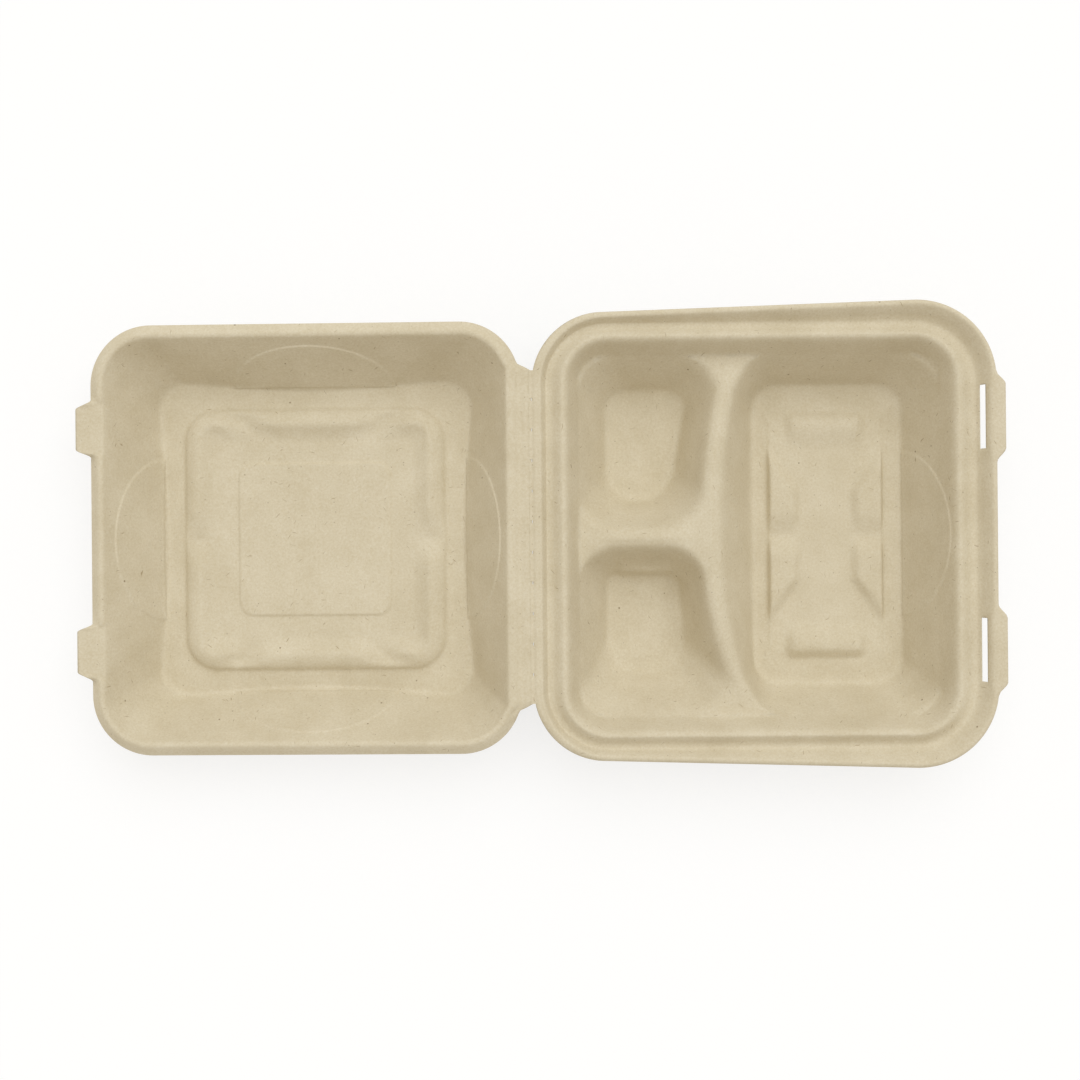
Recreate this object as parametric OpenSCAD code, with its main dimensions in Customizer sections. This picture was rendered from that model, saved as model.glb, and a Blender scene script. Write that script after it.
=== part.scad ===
// Fibre clamshell container: one moulded sheet, a three-compartment base and a lid on a crease.
// It lies open as pictured: base to +X and level, lid to -X and sunk until it rests on the table.
// u runs outwards from the crease, v runs along it, z is measured from the plane of the crease web.

/* [Sheet and crease] */
// thickness of the moulded sheet, mm
sheet = 0.8; // [0.6:0.05:1.0]
// free space between the two halves along the crease, mm
crease_gap = 0.3; // [0.2:0.05:0.4]
// space between the two webs when the lid is shut, mm
web_clearance = 0.4; // [0.3:0.05:0.6]
// half length of the web that joins the halves, mm
web_half = 84.5; // [80:0.5:88]

/* [Base outline and rim] */
// height of the crease web above the table, mm
base_depth = 42; // [34:1:50]
// how far the base reaches from the crease, without its lobes, mm
base_reach = 232.5; // [226:0.5:240]
// half width of the base at its front, mm
base_half_front = 117; // [115:0.5:120]
// half width of the base at the crease, mm
base_half_hinge = 112.5; // [111:0.5:114]
// plan radius of the front corners, mm
base_front_radius = 40; // [34:1:44]
// plan radius of the corners at the crease, mm
base_hinge_radius = 36; // [32:1:40]
// height of the outer lip above the web at the front, mm
lip_height = 3.3; // [2:0.1:4]
// how far the lip turns down at its outer edge, mm
lip_skirt = 2.2; // [1.4:0.1:3]
// depth of the groove that takes the bead of the lid, mm
groove_depth = 4; // [3.4:0.1:5]
// half width of the inner rim crest, mm
crest_half = 100; // [99:0.5:101]
// how far the two front lobes stand out, mm
lobe_reach = 4.5; // [3:0.5:6]
// where a slot and its lobe start, from the middle, mm
slot_start = 42.5; // [41:0.5:44]
// where a slot and its lobe end, from the middle, mm
slot_end = 74.5; // [72:0.5:76]

/* [Compartments] */
// depth of the divider ends below the inner rim, mm
divider_drop = 14.5; // [9:0.5:18]
// how much higher the dividers are where they meet, mm
divider_rise = 7; // [0:0.5:8]
// half width of the flat on top of a divider, mm
divider_top = 1.7; // [1.2:0.1:2.6]
// bow of the long divider, distance of its middle from the crease, mm
divider_middle = 89.5; // [86:0.5:92]
// place of the short divider along the crease, mm
divider_short = -1; // [-4:0.5:2]
// width of the steep wall between inner rim and floors, mm
wall_run = 22.5; // [20:0.5:24]
// rise of the large floor from its edge to the raised field, mm
floor_band = 1.3; // [0:0.1:2]
// height of the raised ridge around that field, mm
floor_ridge = 4.2; // [2:0.2:5]

/* [Lid] */
// depth of the lid from the web to its outer face, mm
lid_depth = 36; // [30:1:40]
// how far the lid reaches from the crease, without its tabs, mm
lid_reach = 223; // [222:0.5:224]
// half width of the lid, mm
lid_half = 108.6; // [107.6:0.2:109.2]
// plan radius of the lid corners, mm
lid_radius = 30.5; // [27:0.5:33]
// height of the bead crest above the web, mm
bead_height = 1.2; // [0.8:0.1:1.4]
// how far the outer edge of the bead lies under its crest, mm
bead_drop = 4.2; // [3.5:0.1:5]
// half size of the flat top panel of the lid, mm
ceiling_half = 81.5; // [78:0.5:84]
// how far the middles of its sides are drawn in, mm
ceiling_waist = 4.2; // [2:0.2:6]
// half size of the square raised field, mm
field_half = 68; // [64:0.5:70]
// rise of the lid panel from its edge to that field, mm
lid_band = 2.2; // [0:0.1:3]
// height of the ridge around that field, mm
field_ridge = 5; // [3:0.2:6.5]
// half size of the plain centre panel, mm
panel_half = 39; // [34:0.5:42]
// height of the plain centre panel over the field, mm
panel_raise = 0.9; // [0.5:0.1:1.5]
// how far a closing tab stands out from the lid edge, mm
tab_reach = 6.2; // [5.5:0.1:7]
// rise of the tab tip, which threads the slot when shut, mm
tab_rise = 2.6; // [2.2:0.1:2.8]

/* [Hidden] */
axis_z = web_clearance / 2;
edge_u = crease_gap / 2;
lid_u = (lid_reach + 6) / 2 - 0.5;
far_u = lid_u + ceiling_half;
droop = asin((base_depth + axis_z) / norm([far_u, lid_depth + axis_z]))
        - atan2(lid_depth + axis_z, far_u);
lobe_u = base_reach + lobe_reach;
lid_tip = (lid_reach + tab_reach) * cos(droop) + (tab_rise - axis_z) * sin(droop);
origin_x = (lid_tip - lobe_u) / 2;
floor_z = sheet - base_depth;
ceiling_z = sheet - lid_depth;
ridge_z = -divider_drop;
crest_u0 = 15.5;
crest_u1 = 214;
crest_r = 22.5;
nc = 9;

function lerp(a, b, t) = a + (b - a) * t;
function sat(t) = min(1, max(0, t));
function smooth(t) = let (s = sat(t)) s * s * (3 - 2 * s);
function even(n) = [for (i = [0:n]) i / n];
function fractions(list) = [for (x = list) (x - list[0]) / (list[len(list) - 1] - list[0])];
function both_ways(half) = concat([for (i = [len(half) - 1:-1:1]) -half[i]], half);

// Rounded loop, counterclockwise from the lower end of its outer side.
// r and n give the radius and steps of the corners, s the fractions along the sides.
function side(p, q, s) = [for (i = [0:len(s) - 2]) lerp(p, q, s[i])];
function arc(c, r, a, n) = [for (i = [0:n - 1]) c + r * [cos(a + 90 * i / n), sin(a + 90 * i / n)]];
function loop(u0, u1, v0, v1, r, n, s, h0 = undef, h1 = undef) =
    let (w0 = is_undef(h0) ? v0 : h0, w1 = is_undef(h1) ? v1 : h1)
    concat(
        side([u1, v0 + r[3]], [u1, v1 - r[0]], s[0]),
        arc([u1 - r[0], v1 - r[0]], r[0], 0, n[0]),
        side([u1 - r[0], v1], [u0 + r[1], w1], s[1]),
        arc([u0 + r[1], w1 - r[1]], r[1], 90, n[1]),
        side([u0, w1 - r[1]], [u0, w0 + r[2]], s[2]),
        arc([u0 + r[2], w0 + r[2]], r[2], 180, n[2]),
        side([u0 + r[2], w0], [u1 - r[3], v0], s[3]),
        arc([u1 - r[3], v0 + r[3]], r[3], 270, n[3])
    );

// Rings between two loops: f is the way across, z the height at each point.
function put(ring, z) = [for (p = ring) [p[0], p[1], z]];
function between(a, b, f, g) = [
    for (i = [0:len(a) - 1]) [lerp(a[i][0], b[i][0], f), lerp(a[i][1], b[i][1], f), lerp(a[i][2], b[i][2], g)]
];

// Vertical thickness of the sheet at a point of a patch, larger where the sheet is steep.
function lean(rings, k, i) =
    let (
        n = len(rings[k]),
        a = rings[k][(i + 1) % n] - rings[k][(i + n - 1) % n],
        b = rings[min(k + 1, len(rings) - 1)][i] - rings[max(k - 1, 0)][i],
        c = cross(a, b)
    )
    min(2.1, norm(c) / max(1e-6, abs(c[2])));
function rim_lean(z) = z > -1 || z < ridge_z + 1 ? 1.1 : 1.8;
function under(rings, lowest, first, last) = [
    for (k = [0:len(rings) - 1]) [
        for (i = [0:len(rings[k]) - 1])
            let (
                p = rings[k][i],
                t = (k == 0 && first) || (k == len(rings) - 1 && last) ? rim_lean(p[2]) : lean(rings, k, i)
            )
            [p[0], p[1], max(p[2] - sheet * t, lowest)]
    ]
];

// Faces of a patch of rings: the upper skin, or the lower one turned over.
function flat(list) = [for (a = list) for (b = a) b];
function quad(a, b, c, d, up) = up ? [[a, c, b], [a, d, c]] : [[a, b, c], [a, c, d]];
function skin(n, m, base, up, skip) = [
    for (k = [0:m - 2])
        for (i = [0:n - 1])
            if (!(k == skip[0] && len(search(i, skip[1])) > 0))
                let (j = (i + 1) % n)
                each quad(base + k * n + i, base + k * n + j, base + (k + 1) * n + j, base + (k + 1) * n + i, up)
];
function fan(n, m, base, centre, up) = [
    for (i = [0:n - 1])
        let (a = base + (m - 1) * n + i, b = base + (m - 1) * n + (i + 1) % n)
        up ? [a, centre, b] : [a, b, centre]
];
function flip(faces) = [for (f = faces) [f[0], f[2], f[1]]];

// One patch: rings, the skin under them, and a middle point when it closes to a floor.

// Shared fractions along the sides
front_v = both_ways([0, 12, 24, 34, 38, slot_start, 53.2, 63.8, slot_end, 77]);
front_s = fractions(front_v);
divider_u_top = divider_middle + 10;
divider_u_low = divider_middle + 16;
crest_in = crest_u0 + crest_r;
crest_out = crest_u1 - crest_r;
top_s = fractions(concat(
    [for (i = [0:9]) lerp(crest_out, divider_u_top, i / 10)],
    [for (i = [0:8]) lerp(divider_u_top, crest_in, i / 8)]));
low_s = fractions(concat(
    [for (i = [0:7]) lerp(crest_in, divider_u_low, i / 8)],
    [for (i = [0:10]) lerp(divider_u_low, crest_out, i / 10)]));
hinge_s = fractions(concat(
    [for (i = [0:8]) lerp(crest_half - crest_r, divider_short, i / 9)],
    [for (i = [0:9]) lerp(divider_short, crest_r - crest_half, i / 9)]));
base_s = [front_s, top_s, hinge_s, low_s];

// Base rim, from the outer edge of the lip to the inner crest
function lip(u) = 0.2 + (lip_height - 0.2) * sat((u - 8) / (base_reach - 20));
function skirted(p) = p[0] > 60 ? 1 : smooth((abs(p[1]) - web_half - 1) / 13);
function lobe(p) = p[0] < base_reach - 14 ? 0 :
    smooth((abs(p[1]) - slot_start + 6) / 6) * smooth((slot_end + 6 - abs(p[1])) / 5);
function outline(d, e) = [
    for (p = loop(edge_u + e, base_reach - d, d - base_half_front, base_half_front - d,
                  [base_front_radius - d, base_hinge_radius - d, base_hinge_radius - d, base_front_radius - d],
                  [nc, nc, nc, nc], base_s, d - base_half_hinge, base_half_hinge - d))
        [p[0] + lobe_reach * lobe(p), p[1]]
];
function lip_ring(d, e, drop) = [
    for (p = outline(d, e)) [p[0], p[1], lerp(e > 0 ? lip(p[0]) : 0, lip(p[0]) - drop, skirted(p))]
];
groove = put(loop(7.5, 222.7, -106.6, 106.6, [30, 30, 30, 30], [nc, nc, nc, nc], base_s), -groove_depth);
crest = put(loop(crest_u0, crest_u1, -crest_half, crest_half,
                 [crest_r, crest_r, crest_r, crest_r], [nc, nc, nc, nc], base_s), 0);
lip_in = [
    for (p = loop(4.6, base_reach - 2.8, 2.8 - base_half_front, base_half_front - 2.8,
                  [base_front_radius - 3, base_hinge_radius - 3, base_hinge_radius - 3, base_front_radius - 3],
                  [nc, nc, nc, nc], base_s, 2.8 - base_half_hinge, base_half_hinge - 2.8))
        [p[0], p[1], lip(p[0]) - 0.15]
];
rim = [
    lip_ring(0, 0, lip_skirt),
    lip_ring(0.45, 1.25, 0.8),
    lip_ring(1.4, 3.1, 0),
    lip_in,
    between(lip_in, groove, 0.35, 0.36),
    between(lip_in, groove, 0.735, 0.82),
    groove,
    between(groove, crest, 0.35, 0.16),
    between(groove, crest, 0.75, 0.78),
    crest
];
// The rolled edge is offset inwards, the rest of the rim straight down.
rim_plain = under(rim, -base_depth, false, true);
function tuck(ring, d, e, drop, thick) = [
    for (i = [0:len(ring) - 1])
        let (p = ring[i], q = outline(d, e)[i], s = skirted(p))
        [lerp(p[0], q[0], s), lerp(p[1], q[1], s), lerp(p[2] - sheet, lip(q[0]) - drop, s)]
];
rim_under = concat(
    [
        tuck(rim[0], sheet * 0.95, 0.1, lip_skirt + 0.05),
        tuck(rim[1], sheet * 0.9 + 0.45, 1.25, sheet * 0.55 + 0.8),
        tuck(rim[2], sheet * 0.45 + 1.4, 3.1, sheet),
        [for (p = rim[3]) [p[0], p[1], p[2] - sheet * 1.15]]
    ],
    [for (k = [4:9]) rim_plain[k]]
);
slot_cells = [
    for (i = [0:17])
        if (min(abs(front_v[i]), abs(front_v[i + 1])) > slot_start - 1
            && max(abs(front_v[i]), abs(front_v[i + 1])) < slot_end + 1) i
];

// Dividers: the long one bows towards the crease, the short one runs straight to it
mouth = wall_run * 0.37;
mouth_v = crest_half - mouth;
function bow(v) = v > 0
    ? divider_middle + 10 * pow(sat(v / 80), 2)
    : divider_middle + 16 * pow(sat(-v / 80), 2);
long_v = concat(
    [for (i = [0:7]) lerp(mouth_v, divider_short + 13, i / 8)],
    [divider_short + 13, divider_short + 6.5, divider_short, divider_short - 6.5],
    [for (i = [0:8]) lerp(divider_short - 13, -mouth_v, i / 8)]);
// The dividers are highest where they meet and sink towards the walls.
function ridge_height(p) =
    let (
        along = abs(p[1] - divider_short) / (mouth_v - sign(p[1]) * divider_short),
        inwards = (divider_middle - p[0]) / (divider_middle - crest_u0 - mouth)
    )
    ridge_z + divider_rise * (1 - pow(sat(max(along, inwards)), 2));
function lifted(p) = [p[0], p[1], ridge_height(p)];
long_ridge = [for (v = long_v) lifted([bow(v), v])];
junction = lifted([bow(divider_short), divider_short]);
short_u = concat([for (i = [0:6]) lerp(crest_u0 + mouth, junction[0] - 13, i / 6)], [junction[0] - 6.5]);
short_ridge = [for (u = short_u) lifted([u, divider_short])];
down_f = [0.28, 0.63];
down_z = [0.11, 0.52];
function down(a, b, j) = [lerp(a[0], b[0], down_f[j]), lerp(a[1], b[1], down_f[j]), lerp(a[2], b[2], down_z[j])];
at_top = crest[37];
at_low = crest[89];
at_hinge = crest[63];
top_wall = [at_top, down(at_top, long_ridge[0], 0), down(at_top, long_ridge[0], 1)];
low_wall = [at_low, down(at_low, long_ridge[20], 0), down(at_low, long_ridge[20], 1)];
hinge_wall = [at_hinge, down(at_hinge, short_ridge[0], 0), down(at_hinge, short_ridge[0], 1)];
function pick(list, a, b) = a <= b ? [for (i = [a:b]) list[i]] : [for (i = [a:-1:b]) list[i]];

// Edge loops of the three compartments, each in the order of loop()
large_edge = concat(pick(crest, 0, 36), top_wall, pick(long_ridge, 0, 20),
                    pick(low_wall, 2, 0), pick(crest, 90, 107));
upper_edge = concat(pick(long_ridge, 8, 0), pick(top_wall, 2, 0), pick(crest, 38, 62),
                    hinge_wall, short_ridge, [junction, long_ridge[9]]);
lower_edge = concat(pick(long_ridge, 18, 12), [long_ridge[11], junction], pick(short_ridge, 7, 0),
                    pick(hinge_wall, 2, 0), pick(crest, 64, 88), pick(low_wall, 0, 2), [long_ridge[20], long_ridge[19]]);
// A flare takes the three points on the wall and the last two steps of its divider.
flare = 5;
large_s = [front_s, fractions(pick([for (p = crest) -p[0]], 27, 37)),
           fractions(pick([for (v = long_v) -v], 2, 18)), fractions(pick([for (p = crest) p[0]], 89, 99))];
large_n = [nc, flare, flare, nc];
upper_s = [even(6), even(8), even(9), even(4)];
upper_n = [flare, nc, flare, 4];
lower_s = [even(6), even(4), even(9), even(8)];
lower_n = [4, flare, nc, flare];

// Height of the wall just inside the crest, by the distance from it
function crest_distance(p) =
    let (
        a = abs(p[0] - (crest_u0 + crest_u1) / 2) - (crest_u1 - crest_u0) / 2 + crest_r,
        b = abs(p[1]) - crest_half + crest_r
    )
    (a > 0 && b > 0 ? crest_r - norm([a, b]) : crest_r - max(a, b)) / mouth;
function wall_height(f) = ridge_z * lookup(f, [[0, 0], [down_f[0], down_z[0]], [down_f[1], down_z[1]], [1, 1]]);
function upper_ring(edge, mouth_loop, f) = [
    for (p = between(edge, mouth_loop, f, f))
        let (d = crest_distance(p))
        [p[0], p[1], d < 1 ? wall_height(d) : ridge_height(p) - mouth_drop * f * f]
];

// Towards the dividers the mouth follows their tops, and the wall under it starts with a shoulder.
mouth_drop = 0.4;
function divider_share(p) = smooth((crest_distance(p) - 1) / 1.2);
function risen(ring) = [
    for (p = ring) [p[0], p[1], lerp(ridge_z, ridge_height(p) - mouth_drop, divider_share(p))]
];
function eased(f, a) = (f < a ? f * f / (2 * a) : f - a / 2) / (1 - a / 2);
function wall_ring(mouth_loop, foot_loop, f, fillet) = [
    for (i = [0:len(mouth_loop) - 1])
        let (p = mouth_loop[i], q = foot_loop[i], g = eased(f, 0.01 + 0.3 * divider_share(p)) + fillet)
        [lerp(p[0], q[0], f), lerp(p[1], q[1], f), lerp(p[2], q[2], g)]
];

// A compartment: edge loop, mouth at divider height, wall, foot
function cell(edge, mouth_loop, foot_loop) = [
    edge,
    upper_ring(edge, mouth_loop, down_f[0]),
    upper_ring(edge, mouth_loop, down_f[1]),
    mouth_loop,
    wall_ring(mouth_loop, foot_loop, 0.16, 0),
    wall_ring(mouth_loop, foot_loop, 0.48, 0.01),
    wall_ring(mouth_loop, foot_loop, 0.88, 0.02),
    foot_loop
];
large_mouth = risen([
    for (p = loop(divider_middle + divider_top, crest_u1 - mouth, -mouth_v, mouth_v,
                  [18, 20, 20, 18], large_n, large_s))
        [p[0] + (bow(p[1]) - divider_middle) * sat((crest_u1 - 40 - p[0]) / 60), p[1]]
]);
large_u0 = 115;
large_u1 = crest_u1 - wall_run + 0.5;
large_v = crest_half - wall_run;
large_foot = put(loop(large_u0, large_u1, -large_v, large_v, [14, 14, 14, 14], large_n, large_s), floor_z);
small_u0 = crest_u0 + wall_run + 1;
function leaned(ring, u1, side) = [
    for (p = ring) [p[0] + (bow(p[1]) - divider_middle) * sat((p[0] - 40) / (u1 - 40)) * side, p[1], p[2]]
];
upper_mouth = risen(leaned(loop(crest_u0 + mouth, divider_middle - divider_top, divider_short + divider_top, mouth_v,
                                [20, 18, 20, 20], upper_n, upper_s), divider_middle, 1));
// The upper small floor narrows towards the short divider.
function narrowed(ring) = [
    for (p = ring) [p[0] - 8 * sat((p[0] - 40) / 38) * sat((68 - p[1]) / 45), p[1], p[2]]
];
upper_foot = narrowed(put(loop(small_u0, divider_middle - 10.5, divider_short + 20.6, large_v - 2.5,
                               [11, 12, 17, 17], upper_n, upper_s), floor_z));
lower_mouth = risen(leaned(loop(crest_u0 + mouth, divider_middle - divider_top, -mouth_v, divider_short - divider_top,
                                [20, 20, 18, 20], lower_n, lower_s), divider_middle, 1));
lower_foot = leaned(put(loop(small_u0, divider_middle - 14, 7 - large_v, divider_short - 19.6,
                             [8, 6, 18, 18], lower_n, lower_s), floor_z), divider_middle - 12, 0.25);

// Raised field of the large floor: a bar across each end, and between them a notched pad on each side
field_u = 152.5;
field_hu = 30.5;
field_hv = 65.5;
field_base = 0.7;
function wedge(x, half) = sat(1 - abs(x) / half);
bar_run = 13.5;
pad_run = 6;
pad_corner = 17;
notch_half = 10.5;
function field_height(u, v) =
    let (
        a = field_hu - abs(u - field_u),
        b = field_hv - abs(v),
        bar = smooth((8 + bar_run - b) / bar_run) * smooth((a - 8.5) / 6),
        pad = smooth(min(field_hu - 12 - a, (b - pad_corner - 1.3 * a) / 1.64) / pad_run),
        notch = wedge(v, notch_half) * sat((field_hu - 11 - a) / 4)
    )
    lerp(field_base, floor_ridge, max(bar, pad * (1 - notch))) * smooth(min(a / 1.8, b / 6.5));
function field_loop(d) = [
    for (p = loop(field_u - field_hu + d, field_u + field_hu - d, d - field_hv, field_hv - d,
                  [max(10 - d, 3), max(10 - d, 3), max(10 - d, 3), max(10 - d, 3)], large_n, large_s))
        [p[0], p[1], floor_z + floor_band + field_height(p[0], p[1])]
];
// Raised oval on the sloping walls
function lens(along, up, half, reach) = sat((1 - pow(along / half, 2) - pow(up / reach, 2)) * 6);
function front_lens(rings) = [
    for (ring = rings) [
        for (p = ring)
            [p[0], p[1], p[2] + 0.8 * (p[0] > large_u1 + 1 && p[2] < -1
                ? lens(p[1], p[0] - large_u1, 42, 18) : 0)]
    ]
];
large_rings = concat(
    front_lens(cell(large_edge, large_mouth, large_foot)),
    [field_loop(0), field_loop(1.6), field_loop(7), field_loop(12.5), field_loop(18.5)]
);
upper_rings = concat(cell(upper_edge, upper_mouth, upper_foot),
                     [between(upper_foot, put(upper_foot, floor_z) * 0.4 + 0.6 * put([for (p = upper_foot) [58, 46]], floor_z), 1, 1)]);
lower_rings = concat(cell(lower_edge, lower_mouth, lower_foot),
                     [between(lower_foot, put(lower_foot, floor_z) * 0.4 + 0.6 * put([for (p = lower_foot) [58, -46]], floor_z), 1, 1)]);

// A closed sheet from patches of rings: [upper rings, lower rings, middle point, skipped quads]
function count(patch) = 2 * len(patch[0]) * len(patch[0][0]) + 2;
function points_of(patch) = concat(flat(patch[0]), flat(patch[1]),
    [patch[2], [patch[2][0], patch[2][1], patch[2][2] - sheet]]);
function faces_of(patch, at, closed, edge) =
    let (
        m = len(patch[0]), n = len(patch[0][0]), low = at + m * n, mid = at + 2 * m * n,
        k = patch[3][0], cut = patch[3][1]
    )
    concat(
        skin(n, m, at, true, patch[3]),
        skin(n, m, low, false, patch[3]),
        closed ? fan(n, m, at, mid, true) : [],
        closed ? fan(n, m, low, mid + 1, false) : [],
        edge ? [for (i = [0:n - 1]) each quad(at + i, at + (i + 1) % n, low + (i + 1) % n, low + i, false)] : [],
        flat([for (i = cut)
            let (a = at + k * n + i, b = at + (k + 1) * n + i, c = low + k * n + i, d = low + (k + 1) * n + i)
            concat(
                quad(a, a + 1, c + 1, c, true),
                quad(b + 1, b, d, d + 1, true),
                len(search(i - 1, cut)) == 0 ? quad(b, a, c, d, true) : [],
                len(search(i + 1, cut)) == 0 ? quad(a + 1, b + 1, d + 1, c + 1, true) : []
            )])
    );
base_patches = [
    [rim, rim_under, [field_u, 0, 0], [4, slot_cells]],
    [large_rings, under(large_rings, -base_depth, true, false), [field_u, 0, floor_z + floor_band + field_base], [-1, []]],
    [upper_rings, under(upper_rings, -base_depth, true, false), [58, 46, floor_z], [-1, []]],
    [lower_rings, under(lower_rings, -base_depth, true, false), [58, -46, floor_z], [-1, []]]
];
function start(i) = i == 0 ? 0 : start(i - 1) + count(base_patches[i - 1]);

module base() {
    color([0.84, 0.80, 0.70])
        translate([origin_x, 0, base_depth])
            polyhedron(
                points = flat([for (patch = base_patches) points_of(patch)]),
                faces = flat([for (i = [0:3]) faces_of(base_patches[i], start(i), i > 0, i == 0)]),
                convexity = 12
            );
}

// Lid, drawn in the same coordinates and then mirrored to the other side of the crease
lid_front = both_ways([0, 14, 28, 42, 44, 46, 66, 68, 71, 78.1]);
lid_outer_s = [fractions(lid_front), even(18), even(18), even(18)];
lid_half_s = both_ways([0, 0.1, 0.2, 0.32, 0.44, 0.56, 0.67, 0.77, 0.87, 1]);
lid_inner_s = [fractions(lid_half_s), fractions(lid_half_s), fractions(lid_half_s), fractions(lid_half_s)];
four = [nc, nc, nc, nc];
// The flank of a tab first comes in to the slot at the tab's height, then rises through the slot.
function tabbed(p, from, to) = p[0] > 190 && abs(p[1]) > from && abs(p[1]) < to ? 1 : 0;
function webbed(p) = p[0] < 40 ? 1 - smooth((abs(p[1]) - web_half + 1) / 3) : 0;
// d: inset from the edge; z: height; w: place and height on the web side; t: the same on a tab.
function lid_ring(d, z, w, t) = [
    for (p = loop(6 + d, lid_reach - d, d - lid_half, lid_half - d,
                  [lid_radius - d, lid_radius - d, lid_radius - d, lid_radius - d], four, lid_outer_s))
        let (a = webbed(p), b = tabbed(p, 43, 69), c = 0.5 * (b + tabbed(p, 45, 67)),
             side = p[0] < 14 && abs(p[1]) < 90 ? 1 : 0)
        [lerp(lerp(p[0], w[0], a), t[0], c), p[1], lerp(lerp(z, w[1], max(a, side * 0.6)), t[1], b)]
];
bead_edge = bead_height - bead_drop;
tip_u = lid_reach + tab_reach;
lid_rim = [
    lid_ring(0, bead_edge, [edge_u, 0], [tip_u, tab_rise]),
    lid_ring(0.9, bead_edge + 0.8, [3, -0.1], [tip_u - 3.5, tab_rise * 0.74]),
    lid_ring(2.4, bead_edge + 2.35, [6.3, -0.5], [lid_reach, tab_rise * 0.42]),
    lid_ring(4.2, bead_height - 0.35, [9, 0.9], [lid_reach - 4.2, 0.3]),
    lid_ring(5.5, bead_height, [11.5, bead_height], [lid_reach - 5.8, 0.1]),
    lid_ring(7, bead_height - 0.7, [13, bead_height - 0.7], [lid_reach - 7.2, -0.1]),
    lid_ring(8.6, bead_height - 3, [14.6, bead_height - 3], [lid_reach - 9, -2])
];
lid_wall_run = lid_half - 8.6 - ceiling_half;
function pulled(p, h) =
    let (a = p[0] - lid_u, b = p[1], ring = max(abs(a), abs(b)),
         k = ceiling_waist * h * pow(1 - pow(sat(min(abs(a), abs(b)) / 78), 2), 2) / ring)
    [p[0] - (abs(a) > abs(b) ? a * k : 0), p[1] - (abs(b) >= abs(a) ? b * k : 0)];
function ceiling_loop(half, r, z, h) = [
    for (p = loop(lid_u - half, lid_u + half, -half, half, [r, r, r, r], four, lid_inner_s))
        let (q = pulled(p, h)) [q[0], q[1], z]
];
lid_foot = ceiling_loop(ceiling_half, 16, ceiling_z, 1);
lid_top = lid_rim[6];
function lid_lens(ring) = [
    for (p = ring)
        let (a = p[0] - lid_u, b = p[1], up = max(abs(a), abs(b)) - ceiling_half + 3, along = min(abs(a), abs(b)))
        [p[0], p[1], p[2] + 0.7 * (up > 1 ? lens(along, up, 43, 20) : 0)]
];
function field_groove(u, v) =
    let (a = abs(u - lid_u), b = abs(v))
    max(wedge(v, 13) * sat((a - 48) / 6),
        wedge((a - 33.75) * 0.775 - (b - 57.5) * 0.632, 10.5) * sat((b - 45) / 5) * sat((67 - b) / 4));
lid_basin = 1;
function lid_field(d, h) = [
    for (p = loop(lid_u - field_half + d, lid_u + field_half - d, d - field_half, field_half - d,
                  [max(17 - d, 5), max(17 - d, 5), max(17 - d, 5), max(17 - d, 5)], four, lid_inner_s))
        [p[0], p[1], ceiling_z + lid_band + min(h, lerp(h, lid_basin, field_groove(p[0], p[1])))]
];
lid_rings = concat(
    lid_rim,
    [
        lid_lens(between(lid_top, lid_foot, 0.22, 0.23)),
        lid_lens(between(lid_top, lid_foot, 0.45, 0.47)),
        lid_lens(between(lid_top, lid_foot, 0.68, 0.71)),
        lid_lens(between(lid_top, lid_foot, 0.88, 0.92)),
        lid_foot,
        lid_field(0, 0),
        lid_field(1.2, field_ridge * 0.42),
        lid_field(5, field_ridge * 0.8),
        lid_field(9.5, field_ridge),
        lid_field(13.5, lerp(field_ridge, lid_basin, 0.6)),
        lid_field(17.5, lid_basin),
        ceiling_loop(panel_half + 0.8, 8, ceiling_z + lid_band + lid_basin, 0),
        ceiling_loop(panel_half - 0.4, 7, ceiling_z + lid_band + lid_basin + panel_raise, 0),
        ceiling_loop(panel_half * 0.5, 5, ceiling_z + lid_band + lid_basin + panel_raise, 0)
    ]
);
lid_patch = [lid_rings, under(lid_rings, -lid_depth, false, false),
             [lid_u, 0, ceiling_z + lid_band + lid_basin + panel_raise], [-1, []]];

module lid() {
    color([0.86, 0.82, 0.72])
        translate([origin_x, 0, base_depth + axis_z])
            rotate([0, -droop, 0])
                translate([0, 0, -axis_z])
                    polyhedron(
                        points = [for (p = points_of(lid_patch)) [-p[0], p[1], p[2]]],
                        faces = flip(faces_of(lid_patch, 0, true, true)),
                        convexity = 12
                    );
}

base();
lid();
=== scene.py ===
"""Fiber clamshell container, lying open: two shells of one moulded sheet and the scored crease between them.
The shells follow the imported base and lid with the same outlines, heights and sheet, only finer."""
import math
import bmesh
import bpy
import numpy as np
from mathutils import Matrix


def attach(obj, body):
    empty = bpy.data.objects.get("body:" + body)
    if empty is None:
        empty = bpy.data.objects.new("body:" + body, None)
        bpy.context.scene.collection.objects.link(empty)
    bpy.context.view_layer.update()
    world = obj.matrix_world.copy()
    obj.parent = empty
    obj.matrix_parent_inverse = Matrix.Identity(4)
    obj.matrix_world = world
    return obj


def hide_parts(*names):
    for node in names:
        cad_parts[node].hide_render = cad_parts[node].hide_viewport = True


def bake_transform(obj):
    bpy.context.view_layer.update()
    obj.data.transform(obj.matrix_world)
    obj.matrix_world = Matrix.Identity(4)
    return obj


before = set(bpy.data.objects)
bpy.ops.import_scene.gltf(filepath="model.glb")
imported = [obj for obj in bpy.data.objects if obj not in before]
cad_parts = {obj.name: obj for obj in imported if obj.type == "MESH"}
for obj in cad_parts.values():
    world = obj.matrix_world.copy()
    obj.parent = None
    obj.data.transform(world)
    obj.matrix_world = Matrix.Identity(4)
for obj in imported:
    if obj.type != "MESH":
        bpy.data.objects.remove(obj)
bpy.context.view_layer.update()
MM = 0.001

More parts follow.
